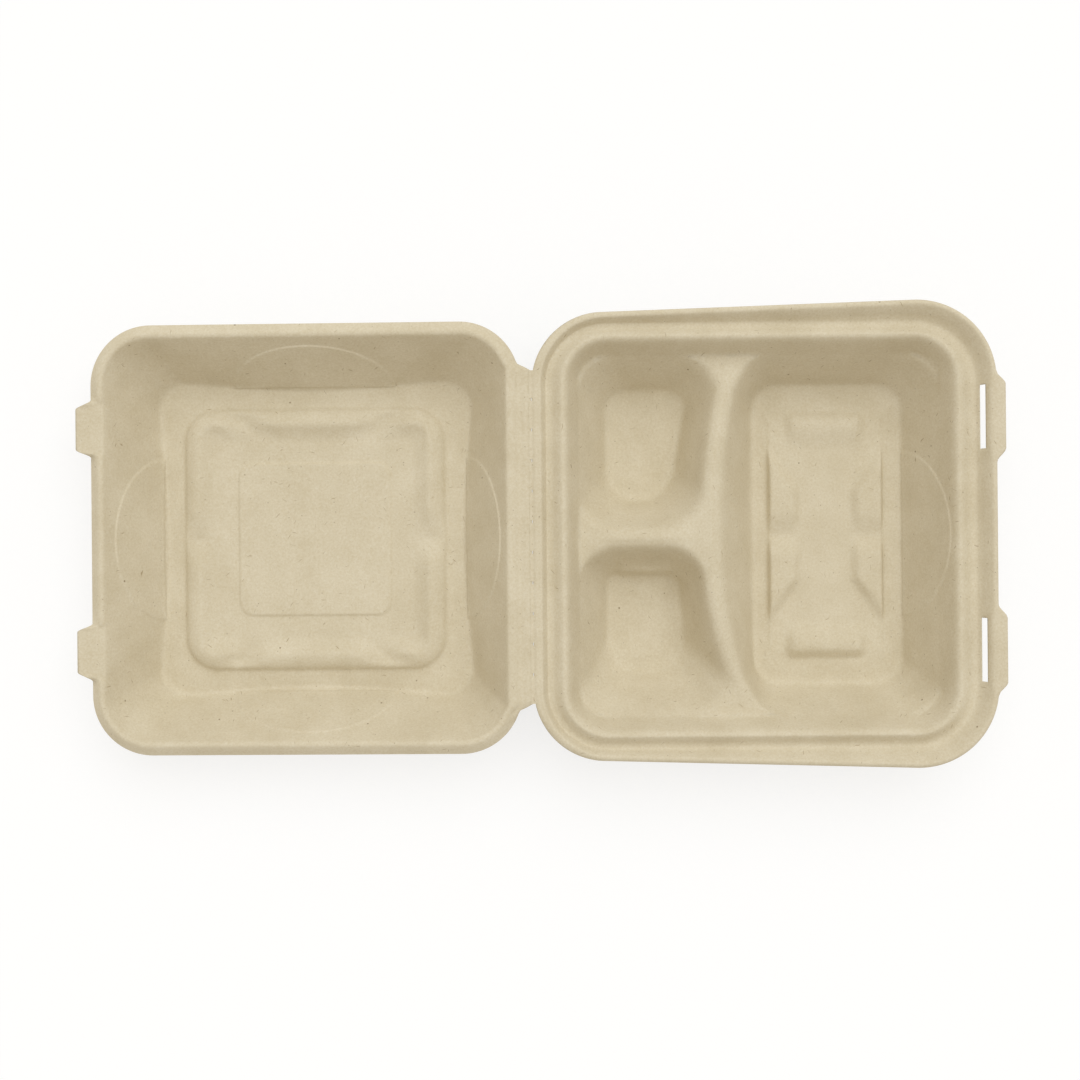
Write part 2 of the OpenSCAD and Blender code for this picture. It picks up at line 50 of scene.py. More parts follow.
# material: unbleached moulded fibre
# Warm beige pulp: cloudy mottling, fine grain, dark flecks and short fibres, all in object space,
# with a dimpled and fibrous bump. One function adds a node and one turns a hex into linear colour.


def linear(hex_colour):
    out = []
    for i in (0, 2, 4):
        c = int(hex_colour[i:i + 2], 16) / 255
        out.append(c / 12.92 if c <= 0.04045 else ((c + 0.055) / 1.055) ** 2.4)
    return (*out, 1.0)


def add(tree, kind, values=(), links=(), **settings):
    """One node: settings are its properties, values its input constants, links its inputs' sources."""
    node = tree.nodes.new(kind)
    for key, value in settings.items():
        setattr(node, key, value)
    for key, value in values:
        node.inputs[key].default_value = value
    for key, source in links:
        tree.links.new(source, node.inputs[key])
    return node


fibre = bpy.data.materials.new("moulded_fibre")
fibre.use_nodes = True
t = fibre.node_tree
t.nodes.clear()
place = add(t, "ShaderNodeTexCoord").outputs["Object"]


def ramp(source, low, high, a, b):
    return add(t, "ShaderNodeMapRange", [("From Min", low), ("From Max", high), ("To Min", a), ("To Max", b)],
               [("Value", source)], clamp=True).outputs["Result"]


def mixed(factor, a, b, mode="MIX"):
    node = add(t, "ShaderNodeMix", data_type="RGBA", blend_type=mode)
    for socket, value in ((node.inputs[0], factor), (node.inputs[6], a), (node.inputs[7], b)):
        if isinstance(value, (float, tuple)):
            socket.default_value = value
        else:
            t.links.new(value, socket)
    return node.outputs[2]


cloud = add(t, "ShaderNodeTexNoise", [("Scale", 45.0), ("Detail", 3.0), ("Roughness", 0.6)],
            [("Vector", place)]).outputs["Fac"]
grain = add(t, "ShaderNodeTexNoise", [("Scale", 900.0), ("Detail", 4.0), ("Roughness", 0.75)],
            [("Vector", place)]).outputs["Fac"]
tone = mixed(ramp(cloud, 0.35, 0.65, 0.0, 1.0), linear("d5ccb6"), linear("dcd4c0"))
tone = mixed(ramp(grain, 0.3, 0.7, 0.0, 1.0), mixed(1.0, tone, linear("eee9de"), "MULTIPLY"), tone)
# Flecks: small dark bits of bark, kept by a random value of each cell
for scale, least, depth in ((300.0, 0.72, 0.55), (170.0, 0.90, 0.75)):
    cells = add(t, "ShaderNodeTexVoronoi", [("Scale", scale), ("Randomness", 1.0)], [("Vector", place)])
    kept = add(t, "ShaderNodeSeparateColor", links=[("Color", cells.outputs["Color"])])
    near = ramp(cells.outputs["Distance"], 0.05, 0.11, depth, 0.0)
    some = ramp(kept.outputs["Red"], least, least + 0.05, 0.0, 1.0)
    fleck = add(t, "ShaderNodeMath", links=[(0, near), (1, some)], operation="MULTIPLY").outputs[0]
    tone = mixed(fleck, tone, linear("76603f"))
# Short fibres: stretched cells in five directions, bent a little by a noise
bend = add(t, "ShaderNodeTexNoise", [("Scale", 160.0), ("Detail", 1.0)], [("Vector", place)]).outputs["Color"]
bend = add(t, "ShaderNodeVectorMath", [(1, (0.5, 0.5, 0.5))], [(0, bend)], operation="SUBTRACT").outputs[0]
bend = add(t, "ShaderNodeVectorMath", [("Scale", 4 * MM)], [(0, bend)], operation="SCALE").outputs[0]
bent = add(t, "ShaderNodeVectorMath", links=[(0, place), (1, bend)], operation="ADD").outputs[0]
for angle, pick in ((0.35, "Green"), (0.95, "Blue"), (1.6, "Red"), (2.25, "Green"), (2.85, "Blue")):
    turned = add(t, "ShaderNodeMapping", [("Rotation", (0.0, 0.0, angle)), ("Location", (angle, 0.3, 0.7)),
                                          ("Scale", (11 * MM, 1.3 * MM, 11 * MM))],
                 [("Vector", bent)], vector_type="TEXTURE").outputs[0]
    strands = add(t, "ShaderNodeTexVoronoi", [("Scale", 1.0), ("Randomness", 1.0)], [("Vector", turned)])
    parts = add(t, "ShaderNodeSeparateColor", links=[("Color", strands.outputs["Color"])])
    thin = ramp(strands.outputs["Distance"], 0.07, 0.15, 1.0, 0.0)
    few = ramp(parts.outputs[pick], 0.93, 0.97, 0.0, 0.6)
    strand = add(t, "ShaderNodeMath", links=[(0, thin), (1, few)], operation="MULTIPLY").outputs[0]
    tone = mixed(strand, tone, linear("8a7248"))
bumps = add(t, "ShaderNodeTexNoise", [("Scale", 380.0), ("Detail", 5.0), ("Roughness", 0.7)],
            [("Vector", place)]).outputs["Fac"]
bump = add(t, "ShaderNodeBump", [("Strength", 0.55), ("Distance", 0.35 * MM)], [("Height", bumps)]).outputs[0]
skin = add(t, "ShaderNodeBsdfPrincipled", [("Roughness", 0.85), ("Specular IOR Level", 0.2)],
           [("Base Color", tone), ("Normal", bump)])
add(t, "ShaderNodeOutputMaterial", links=[("Surface", skin.outputs[0])])

# base_shell: the tray with three compartments
# Half of one sheet of plant pulp, formed on a mould and hot-pressed, with a rim rolled for stiffness.
# Loops of points run round the rim and the compartments, lofts between them form the upper skin, and the
# lower skin lies one sheet below it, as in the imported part. Lengths are in mm from the crease.
SHEET = 0.8
base_depth, base_reach, lobe_reach = 42.0, 232.5, 4.5
lid_depth, lid_reach, tab_reach, tab_rise = 36.0, 223.0, 6.2, 2.6
axis_z, edge_u, web_half = 0.2, 0.15, 84.5
lid_u = (lid_reach + 6) / 2 - 0.5
ceiling_half = 81.5
far_u = lid_u + ceiling_half
droop = math.asin((base_depth + axis_z) / math.hypot(far_u, lid_depth + axis_z))
droop -= math.atan2(lid_depth + axis_z, far_u)
lid_tip = (lid_reach + tab_reach) * math.cos(droop) + (tab_rise - axis_z) * math.sin(droop)
origin_x = (lid_tip - base_reach - lobe_reach) / 2
floor_z, ridge_z = SHEET - base_depth, -14.5
half_front, half_hinge, radius_front, radius_hinge = 117.0, 112.5, 40.0, 36.0
divider_u, divider_half = 89.5, 1.7
FINE = 3


def sat(x):
    return np.clip(x, 0.0, 1.0)


def smooth(x):
    s = sat(x)
    return s * s * (3 - 2 * s)


def fractions(values, fine=FINE):
    values = np.asarray(values, float)
    dense = np.interp(np.arange((len(values) - 1) * fine + 1) / fine, np.arange(len(values)), values)
    return (dense - dense[0]) / (dense[-1] - dense[0])


def both_ways(half):
    return [-x for x in half[:0:-1]] + list(half)


def loop(u0, u1, v0, v1, r, n, s, h0=None, h1=None):
    """Rounded loop, counterclockwise from the lower end of its outer side."""
    w0, w1 = (v0 if h0 is None else h0), (v1 if h1 is None else h1)
    corners = [(u1 - r[0], v1 - r[0]), (u0 + r[1], w1 - r[1]), (u0 + r[2], w0 + r[2]), (u1 - r[3], v0 + r[3])]
    ends = [((u1, v0 + r[3]), (u1, v1 - r[0])), ((u1 - r[0], v1), (u0 + r[1], w1)),
            ((u0, w1 - r[1]), (u0, w0 + r[2])), ((u0 + r[2], w0), (u1 - r[3], v0))]
    out = []
    for k in range(4):
        p, q = np.array(ends[k][0]), np.array(ends[k][1])
        out.append(p + (q - p) * s[k][:-1, None])
        a = np.radians(90 * k + 90 * np.arange(n[k] * FINE) / (n[k] * FINE))
        out.append(np.array(corners[k]) + r[k] * np.stack([np.cos(a), np.sin(a)], 1))
    return np.concatenate(out)


def put(ring, z):
    return np.column_stack([ring[:, :2], np.broadcast_to(z, len(ring))])


def spline(rings, steps):
    """Rings through the given ones, with a smooth section (Catmull-Rom)."""
    r = [2 * rings[0] - rings[1], *rings, 2 * rings[-1] - rings[-2]]
    out = []
    for k, count in enumerate(steps):
        a, b, c, d = r[k], r[k + 1], r[k + 2], r[k + 3]
        for i in range(count):
            x = i / count
            out.append(b + 0.5 * x * (c - a + x * (2 * a - 5 * b + 4 * c - d + x * (3 * (b - c) + d - a))))
    return [*out, rings[-1]]


def straight(a, b, count):
    """Rings between a and b, without b."""
    return [a + (b - a) * i / count for i in range(count)]


def soften(rings, passes, first=1):
    """Rounds the section: each ring moves towards the mean of its neighbours."""
    x = np.array(rings)
    for _ in range(passes):
        x[first:-1] = 0.25 * x[first - 1:-2] + 0.5 * x[first:-1] + 0.25 * x[first + 1:]
    return list(x)


def rounded(x, knots, width):
    """A profile given by knots, averaged over a width, so that its corners are round."""
    k = np.array(knots, float)
    spread = np.linspace(-width, width, 9)
    return np.mean([np.interp(x + d, k[:, 0], k[:, 1]) for d in spread], axis=0)


def under(rings, lowest, edge=None):
    """The lower skin: straight down by the sheet's thickness along the slope.
    edge marks the rings that are shared with a neighbour."""
    x = np.array(rings)
    a = np.roll(x, -1, 1) - np.roll(x, 1, 1)
    b = np.gradient(x, axis=0)
    n = np.cross(a, b)
    lean = np.minimum(2.1, np.linalg.norm(n, axis=2) / np.maximum(1e-9, abs(n[..., 2])))
    if edge is not None:
        z = x[edge, :, 2]
        lean[edge] = np.where((z > -1) | (z < ridge_z + 1), 1.1, 1.8)
    low = x.copy()
    low[..., 2] = np.maximum(x[..., 2] - SHEET * lean, lowest)
    return list(low)


front_v = both_ways([0, 12, 24, 34, 38, 42.5, 53.2, 63.8, 74.5, 77])
crest_u0, crest_u1, crest_half, crest_r = 15.5, 214.0, 100.0, 22.5
top_u, low_u, short_v = 99.5, 105.5, -1.0
top_list = [191.5 + (top_u - 191.5) * i / 10 for i in range(10)]
top_list += [top_u + (38 - top_u) * i / 8 for i in range(9)]
low_list = [38 + (low_u - 38) * i / 8 for i in range(8)]
low_list += [low_u + (191.5 - low_u) * i / 10 for i in range(11)]
side_list = [77.5 + (short_v - 77.5) * i / 9 for i in range(9)]
side_list += [short_v + (-77.5 - short_v) * i / 9 for i in range(10)]
base_s = [fractions(x) for x in (front_v, top_list, side_list, low_list)]
even = {n: fractions(range(n + 1)) for n in (4, 6, 8, 9)}
CORNERS = [9, 9, 9, 9]


def lip(u):
    return 0.2 + 3.1 * sat((u - 8) / (base_reach - 20))


def skirted(p):
    return np.where(p[:, 0] > 60, 1.0, smooth((abs(p[:, 1]) - web_half - 1) / 13))


def lobed(p):
    b = abs(p[:, 1])
    out = smooth((b - 35.5) / 7) * smooth((81 - b) / 6.5)
    return p + np.column_stack([np.where(p[:, 0] < base_reach - 14, 0, lobe_reach * out), 0 * b])


def outline(d, e, r=0.0):
    front, hinge = radius_front - d - r, radius_hinge - d - r
    return loop(edge_u + e, base_reach - d, d - half_front, half_front - d, [front, hinge, hinge, front],
                CORNERS, base_s, d - half_hinge, half_hinge - d)


def lip_ring(d, e, drop):
    p = lobed(outline(d, e))
    s = skirted(p)
    rise = lip(p[:, 0])
    return put(p, (rise if e > 0 else -0.5) * (1 - s) + (rise - drop) * s)


crest = put(loop(crest_u0, crest_u1, -crest_half, crest_half, [crest_r] * 4, CORNERS, base_s), 0)
groove = put(loop(7.5, 222.7, -106.6, 106.6, [30] * 4, CORNERS, base_s), -4)
lip_in = outline(2.8, 4.45, 0.2)
lip_in = put(lip_in, lip(lip_in[:, 0]) - 0.15)


def across(a, b, f, g):
    return np.column_stack([a[:, :2] + (b[:, :2] - a[:, :2]) * f, a[:, 2] + (b[:, 2] - a[:, 2]) * g])


knots = [lip_ring(0, 0, 2.2), lip_ring(0.45, 1.25, 0.8), lip_ring(1.4, 3.1, 0), lip_in,
         across(lip_in, groove, 0.35, 0.35), across(lip_in, groove, 0.68, 0.76), groove,
         across(groove, crest, 0.35, 0.16), across(groove, crest, 0.75, 0.78), crest]
steps = [2, 3, 4, 4, 4, 4, 4, 4, 4]
beyond = put(loop(crest_u0 + 2.2, crest_u1 - 2.2, -97.8, 97.8, [20.3] * 4, CORNERS, base_s), -1.4)
rim = spline([*knots, beyond], [*steps, 1])[:-1]
slot_rings = (sum(steps[:4]), sum(steps[:5]))


def tuck(ring, d, e, drop):
    q = lobed(outline(d, e))
    s = skirted(ring)[:, None]
    low = put(q, lip(q[:, 0]) - drop)
    return (ring - [0, 0, SHEET]) * (1 - s) + low * s


web_edge = knots[0] + [0, 0, 0.5] * (1 - skirted(knots[0]))[:, None]
tucked = spline([tuck(web_edge, 0.76, 0.1, 2.25), tuck(knots[1], 1.15, 1.25, 1.2),
                 tuck(knots[2], 1.75, 3.1, 0.85), knots[3] - [0, 0, 0.95]], steps[:3])
rim_under = under(rim, -base_depth, [-1])
rim_under = tucked[:-1] + rim_under[len(tucked) - 1:]

mouth = 22.5 * 0.37
mouth_v = crest_half - mouth


def ridge_height(u, v):
    """The dividers are highest where they meet and sink towards the walls."""
    along = abs(v - short_v) / (mouth_v + v / abs(v + 1e-9))
    return ridge_z + 7.0 * (1 - sat(np.maximum(along, (divider_u - u) / 66)) ** 2)


def bow(v):
    return divider_u + np.where(v > 0, 10 * sat(v / 80) ** 2, 16 * sat(-v / 80) ** 2)


def line(points, fine=FINE):
    """Points of a polyline made finer, its last point left out."""
    p = np.array(points, float)
    k = np.arange((len(p) - 1) * fine) / fine
    return np.column_stack([np.interp(k, np.arange(len(p)), p[:, c]) for c in range(p.shape[1])])


def wall_height(f):
    """Share of the drop to the divider tops, by the share of the way in from the crest."""
    return ridge_z * np.where(f < 0.45, 1.434 * f * f, 0.2904 + 1.2903 * (f - 0.45))


def crest_distance(p):
    a = abs(p[:, 0] - (crest_u0 + crest_u1) / 2) - (crest_u1 - crest_u0) / 2 + crest_r
    b = abs(p[:, 1]) - crest_half + crest_r
    return (crest_r - np.where((a > 0) & (b > 0), np.hypot(a, b), np.maximum(a, b))) / mouth


long_v = np.concatenate([np.linspace(mouth_v, 12, 9), [5.5, -1, -7.5], np.linspace(-14, -mouth_v, 9)])
long_fine = line(np.column_stack([bow(long_v), long_v]))[:, 1]
long_ridge = np.column_stack([bow(long_fine), long_fine, ridge_height(bow(long_fine), long_fine)])
low_end = np.array([[bow(-mouth_v), -mouth_v, ridge_z]])
short_u = [crest_u0 + mouth + (76.5 - crest_u0 - mouth) * i / 6 for i in range(7)] + [83.0, 89.5025]
short_ridge = line([(u, short_v) for u in short_u])
short_ridge = np.column_stack([short_ridge, ridge_height(*short_ridge.T)])


def wall_line(a, b):
    f = np.arange(3 * FINE) / (3 * FINE)
    f = np.interp(f * 3, [0, 1, 2, 3], [0, 0.28, 0.63, 1])
    return np.column_stack([a[0] + (b[0] - a[0]) * f, a[1] + (b[1] - a[1]) * f, wall_height(f)])


top_wall = wall_line(crest[37 * FINE], long_ridge[0])
low_wall = wall_line(crest[89 * FINE], low_end[0])
hinge_wall = wall_line(crest[63 * FINE], short_ridge[0])
F = FINE


def back(start, points):
    """start, then the points in reverse order without their first one."""
    return np.concatenate([start, points[:0:-1]])


large_edge = np.concatenate([crest[:37 * F], top_wall, long_ridge, back(low_end, low_wall), crest[89 * F:]])
upper_edge = np.concatenate([back(long_ridge[8 * F:8 * F + 1], long_ridge[:8 * F]),
                             back(long_ridge[:1], top_wall), crest[37 * F:63 * F], hinge_wall, short_ridge,
                             back(long_ridge[10 * F:10 * F + 1], long_ridge[8 * F:10 * F])])
lower_edge = np.concatenate([back(long_ridge[18 * F:18 * F + 1], long_ridge[12 * F:18 * F]),
                             back(long_ridge[12 * F:12 * F + 1], long_ridge[10 * F:12 * F]),
                             back(long_ridge[10 * F:10 * F + 1], short_ridge),
                             back(short_ridge[:1], hinge_wall),
                             crest[63 * F:89 * F], low_wall, back(low_end, long_ridge[18 * F:])])
large_s = [base_s[0], fractions([-x for x in top_list[:11]]),
           fractions(-long_v[2:19]), fractions(low_list[8:])]
large_n, upper_n, lower_n = [9, 5, 5, 9], [5, 9, 5, 4], [4, 5, 9, 5]
upper_s, lower_s = [even[6], even[8], even[9], even[4]], [even[6], even[4], even[9], even[8]]


def leaned(ring, u1, amount):
    shift = (bow(ring[:, 1]) - divider_u) * sat((ring[:, 0] - 40) / (u1 - 40)) * amount
    return ring + np.column_stack([shift, 0 * shift, 0 * shift])


large_mouth = loop(divider_u + divider_half, crest_u1 - mouth, -mouth_v, mouth_v,
                   [18, 20, 20, 18], large_n, large_s)
large_mouth = put(large_mouth, ridge_z)
large_mouth[:, 0] += (bow(large_mouth[:, 1]) - divider_u) * sat((crest_u1 - 40 - large_mouth[:, 0]) / 60)
large_foot = put(loop(115, 192, -77.5, 77.5, [14] * 4, large_n, large_s), floor_z)
small_u1 = divider_u - divider_half
upper_mouth = loop(crest_u0 + mouth, small_u1, 0.7, mouth_v, [20, 18, 20, 20], upper_n, upper_s)
upper_mouth = leaned(put(upper_mouth, ridge_z), divider_u, 1)
upper_foot = put(loop(39, 79, 19.6, 75, [11, 12, 17, 17], upper_n, upper_s), floor_z)
# this floor narrows towards the short divider
upper_foot[:, 0] -= 8 * sat((upper_foot[:, 0] - 40) / 38) * sat((68 - upper_foot[:, 1]) / 45)
lower_mouth = loop(crest_u0 + mouth, small_u1, -mouth_v, -2.7, [20, 20, 18, 20], lower_n, lower_s)
lower_mouth = leaned(put(lower_mouth, ridge_z), divider_u, 1)
for ring in (large_mouth, upper_mouth, lower_mouth):
    ring[:, 2] += (ridge_height(*ring[:, :2].T) - ridge_z - 0.4) * smooth((crest_distance(ring) - 1) / 1.2)
lower_foot = put(loop(39, 75.5, -70.5, -20.6, [8, 6, 18, 18], lower_n, lower_s), floor_z)
lower_foot = leaned(lower_foot, 77.5, 0.25)


def wall_rings(mouth_loop, foot_loop, count):
    """Down the wall, with a fillet at its foot and a round shoulder where it hangs from a divider."""
    a = 0.01 + 0.3 * smooth((crest_distance(mouth_loop) - 1) / 1.2)
    out = []
    for f in np.arange(count) / count:
        g = np.where(f < a, f * f / (2 * a), f - a / 2) / (1 - a / 2)
        fillet = np.interp(f, [0, 0.16, 0.48, 0.88, 1], [0, 0, 0.01, 0.02, 0])
        out.append(across(mouth_loop, foot_loop, f, g + fillet))
    return out


def cell(edge, mouth_loop, foot_loop, count=9, wall=19):
    """Rings from the crest and divider tops down the wall to the floor, without the foot itself."""
    out = [edge]
    for i in range(1, count):
        f = i / count
        p = across(edge, mouth_loop, f, f)
        d = crest_distance(p)
        out.append(put(p, np.where(d < 1, wall_height(sat(d)), ridge_height(*p[:, :2].T) - 0.4 * f * f)))
    return out + wall_rings(mouth_loop, foot_loop, wall)


def wedge(x, half):
    return sat(1 - abs(x) / half)


field_u, field_hu, field_hv = 152.5, 30.5, 65.5
floor_band, field_base, field_rise, field_swell = 1.3, 0.7, 3.5, 0.5
centre_z = floor_z + floor_band + field_base + field_swell


def field_height(u, v):
    """Raised field: a bar across each end, and between them on each side a pad with a V notch."""
    a, b = field_hu - abs(u - field_u), field_hv - abs(v)
    bar = smooth((21.5 - b) / 13.5) * smooth((a - 8.5) / 6)
    pad = smooth(np.minimum(18.5 - a, (b - 17 - 1.3 * a) / 1.64) / 6)
    notch = wedge(v, 10.5) * sat((19.5 - a) / 4)
    raised = field_base + field_rise * np.maximum(bar, pad * (1 - notch))
    return raised * smooth(np.minimum(a / 1.8, b / 6.5))


def crowned(p, u, v, half_u, half_v, rise):
    """Floors swell a little towards their middle."""
    return rise * sat(1 - ((p[:, 0] - u) / half_u) ** 2) * sat(1 - ((p[:, 1] - v) / half_v) ** 2)


def field_loop(d):
    r, half = max(10 - d, 3), field_hu - d
    p = loop(field_u - half, field_u + half, d - field_hv, field_hv - d, [r] * 4, large_n, large_s)
    return put(p, floor_z + floor_band + field_height(p[:, 0], p[:, 1]) + field_swell * sat(d / 20))


def to_centre(ring, u, v, z, count):
    return straight(ring, np.tile([float(u), float(v), float(z)], (len(ring), 1)), count)


field = [field_loop(d) for d in np.concatenate([[0, 0.4, 0.8, 1.2, 1.6, 2.1], np.arange(2.8, 21.1, 0.9)])]
large = soften(cell(large_edge, large_mouth, large_foot) + straight(large_foot, field[0], 6) + field, 2, 10)
inner = to_centre(large[-1], field_u, 0, centre_z, 12)[1:]
large += [put(r, floor_z + floor_band + field_swell + field_height(r[:, 0], r[:, 1])) for r in inner]
upper_middle, lower_middle, crown = (58, 46), (58, -46), 1.2
upper = cell(upper_edge, upper_mouth, upper_foot)
upper = soften(upper + to_centre(upper_foot, *upper_middle, floor_z, 10), 2, 10)
lower = cell(lower_edge, lower_mouth, lower_foot)
for k, ring in enumerate(lower[22:]):
    # the foot of this wall is stepped: it ends steeply above the floor
    step = smooth((ring[:, 0] - 42) / 8) * smooth((76 - ring[:, 0]) / 8) * smooth((ring[:, 1] + 25) / 4)
    ring[:, 2] += 3.6 * step * smooth((k + 1) / 5)
lower = soften(lower + to_centre(lower_foot, *lower_middle, floor_z, 10), 2, 10)
for rings, (u, v) in ((upper, upper_middle), (lower, lower_middle)):
    for ring in rings[28:]:
        ring[:, 2] += crowned(ring, u, v, 19, 26, crown)


def shell(name, patches, oval, place_it, turned):
    """Joins patches to one closed mesh: upper and lower rings, middle point or None, open edge, slot cells.
    oval gives 1 on the outline of a raised oval of the walls and less inside it.
    The faces there are made finer."""
    points, faces, total = [], [], 0
    for top, low, centre, open_edge, slots in patches:
        m, n = len(top), len(top[0])
        skins = [np.concatenate(top), np.concatenate(low)]
        points += skins
        i = np.arange(n)
        j = (i + 1) % n
        for s, base in enumerate((total, total + m * n)):
            for k in range(m - 1):
                keep = np.ones(n, bool)
                if slots and slots[0] <= k < slots[1]:
                    keep[slots[2]] = False
                a, b = base + k * n + i, base + k * n + j
                c, d = b + n, a + n
                quads = np.stack([a, b, c, d] if s == 0 else [a, d, c, b], 1)[keep]
                faces += quads.tolist()
        if centre is not None:
            points.append(np.array([centre, [centre[0], centre[1], centre[2] - SHEET]]))
            for s, base in enumerate((total, total + m * n)):
                a, b = base + (m - 1) * n + i, base + (m - 1) * n + j
                c = np.full(n, total + 2 * m * n + s)
                faces += np.stack([a, b, c] if s == 0 else [b, a, c], 1).tolist()
        low_at = total + m * n
        if open_edge:
            faces += np.stack([low_at + i, low_at + j, total + j, total + i], 1).tolist()
        if slots:
            cut = set(slots[2])
            for q in slots[2]:
                a, b = total + slots[0] * n + q, total + slots[1] * n + q
                c, d = a + m * n, b + m * n
                faces += [[a, a + 1, c + 1, c], [b + 1, b, d, d + 1]]
                for at, side in ((q, q - 1 not in cut), (q + 1, q + 1 not in cut)):
                    if side:
                        for k in range(slots[0], slots[1]):
                            e, f = total + k * n + at, total + (k + 1) * n + at
                            wall = [f, e, e + m * n, f + m * n]
                            faces.append(wall if at == q else wall[::-1])
        total += 2 * m * n + (2 if centre is not None else 0)
    mesh = bpy.data.meshes.new(name)
    mesh.from_pydata(np.concatenate(points).tolist(), [], faces)
    bm = bmesh.new()
    bm.from_mesh(mesh)
    bmesh.ops.remove_doubles(bm, verts=bm.verts, dist=2e-3)
    near = oval(np.array([v.co for v in bm.verts]))
    at = [[near[v.index] for v in f.verts] for f in bm.faces]
    near = [f for f, x in zip(bm.faces, at) if min(x) < 1.03 and max(x) > 0.91]
    edges = list({e for f in near for e in f.edges})
    bmesh.ops.subdivide_edges(bm, edges=edges, cuts=3, use_grid_fill=True)
    bm.verts.ensure_lookup_table()
    p = np.array([v.co for v in bm.verts])
    p[:, 2] += smooth((1 - oval(p)) * 20)
    p = place_it(p) * MM
    for v, co in zip(bm.verts, p):
        v.co = co
    if turned:
        bmesh.ops.reverse_faces(bm, faces=bm.faces)
    bmesh.ops.recalc_face_normals(bm, faces=bm.faces)
    bm.to_mesh(mesh)
    bm.free()
    mesh.polygons.foreach_set("use_smooth", [True] * len(mesh.polygons))
    obj = bpy.data.objects.new(name, mesh)
    bpy.context.scene.collection.objects.link(obj)
    obj.data.materials.append(fibre)
    return obj


slot_cells = [k for i in range(18) for k in range(i * F, i * F + F)
              if 42 < abs(front_v[i] + front_v[i + 1]) / 2 < 75]


def front_oval(p):
    up = p[:, 0] - 192
    return np.where((up > 0.8) & (p[:, 2] < -1), np.hypot(p[:, 1] / 44, np.maximum(up, 2.5) / 18.5), 9)


base_shell = shell(
    "base_shell",
    [(rim, rim_under, None, True, (*slot_rings, slot_cells)),
     (large, under(large, -base_depth, [0]), (field_u, 0, centre_z), False, None),
     (upper, under(upper, -base_depth, [0]), (*upper_middle, floor_z + crown), False, None),
     (lower, under(lower, -base_depth, [0]), (*lower_middle, floor_z + crown), False, None)],
    front_oval, lambda p: p + [origin_x, 0, base_depth], False)
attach(base_shell, "base")
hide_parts("base")

# lid_shell: the shallow lid with its bead, tabs and square raised field
# The other half of the sheet. Its bead nests in the groove of the base and its two tabs thread the slots.
# Drawn like the base, then mirrored to the other side of the crease and sunk about it to rest on the table.
lid_front = both_ways([0, 14, 28, 42, 44, 46, 66, 68, 71, 78.1])
lid_s = [fractions(lid_front), fractions(range(19)), fractions(range(19)), fractions(range(19))]
half_s = fractions(both_ways([0, 0.1, 0.2, 0.32, 0.44, 0.56, 0.67, 0.77, 0.87, 1]))
bead, edge_z = 1.2, 1.2 - 4.2
lid_half, lid_radius = 108.6, 30.5
ceiling_z = SHEET - lid_depth
lid_field_half, lid_band, lid_basin, panel_raise = 68.0, 2.2, 1.0, 0.9
panel_z = ceiling_z + lid_band + lid_basin


def lid_ring(d, z, web, tab):
    p = loop(6 + d, lid_reach - d, d - lid_half, lid_half - d, [lid_radius - d] * 4, CORNERS, lid_s)
    b = abs(p[:, 1])
    near_web = p[:, 0] < 40
    a = np.where(near_web, 1 - smooth((b - web_half + 1.5) / 4.5), 0)
    tabbed = np.where(p[:, 0] > 190, smooth((b - 41.8) / 2.2) * smooth((71.2 - b) / 2.4), 0)
    out = np.where(p[:, 0] > 190, smooth((b - 42.2) / 3.6) * smooth((70 - b) / 4), 0)
    side = np.where((p[:, 0] < 14) & (b < 90), 0.6, 0)
    u = p[:, 0] * (1 - a) + web[0] * a
    h = z + (web[1] - z) * np.maximum(a, side)
    return np.column_stack([u + (tab[0] - u) * out, p[:, 1], h + (tab[1] - h) * tabbed])


tip = lid_reach + tab_reach
lid_knots = [
    lid_ring(0, edge_z, (edge_u, -0.5), (tip, tab_rise)),
    lid_ring(0.9, edge_z + 0.8, (3, -0.1), (tip - 3.5, tab_rise * 0.74)),
    lid_ring(2.4, edge_z + 2.35, (6.3, -0.5), (lid_reach, tab_rise * 0.42)),
    lid_ring(4.2, bead - 0.35, (9, 0.9), (lid_reach - 4.2, 0.3)),
    lid_ring(5.5, bead, (11.5, bead), (lid_reach - 5.8, 0.1)),
    lid_ring(7, bead - 0.7, (13, bead - 0.7), (lid_reach - 7.2, -0.1)),
    lid_ring(8.6, bead - 3, (14.6, bead - 3), (lid_reach - 9, -2))]


def ceiling_loop(half, r, z, h):
    p = loop(lid_u - half, lid_u + half, -half, half, [r] * 4, CORNERS, [half_s] * 4)
    a, b = p[:, 0] - lid_u, p[:, 1]
    small, big = np.minimum(abs(a), abs(b)), np.maximum(abs(a), abs(b))
    k = 1 - 4.2 * h * (1 - sat(small / 78) ** 2) ** 2 / big
    a, b = np.where(abs(a) > abs(b), a * k, a), np.where(abs(b) >= abs(a), b * k, b)
    return put(np.column_stack([lid_u + a, b]), z)


def field_groove(u, v):
    a, b = abs(u - lid_u), abs(v)
    mid = wedge(v, 13) * sat((a - 48) / 6)
    corner = wedge((a - 33.75) * 0.775 - (b - 57.5) * 0.632, 10.5) * sat((b - 45) / 5) * sat((67 - b) / 4)
    return np.maximum(mid, corner)


def lid_field(d):
    r = max(17 - d, 5)
    half = lid_field_half - d
    p = loop(lid_u - half, lid_u + half, -half, half, [r] * 4, CORNERS, [half_s] * 4)
    profile = [(0, 0), (1.2, 2.1), (4.5, 4), (8.5, 5), (12.5, 2.6), (16.5, lid_basin), (60, lid_basin)]
    h = float(rounded(d, profile, 0.9)) if d > 0 else 0.0
    g = field_groove(p[:, 0], p[:, 1])
    return put(p, ceiling_z + lid_band + np.minimum(h, h + (lid_basin - h) * g))


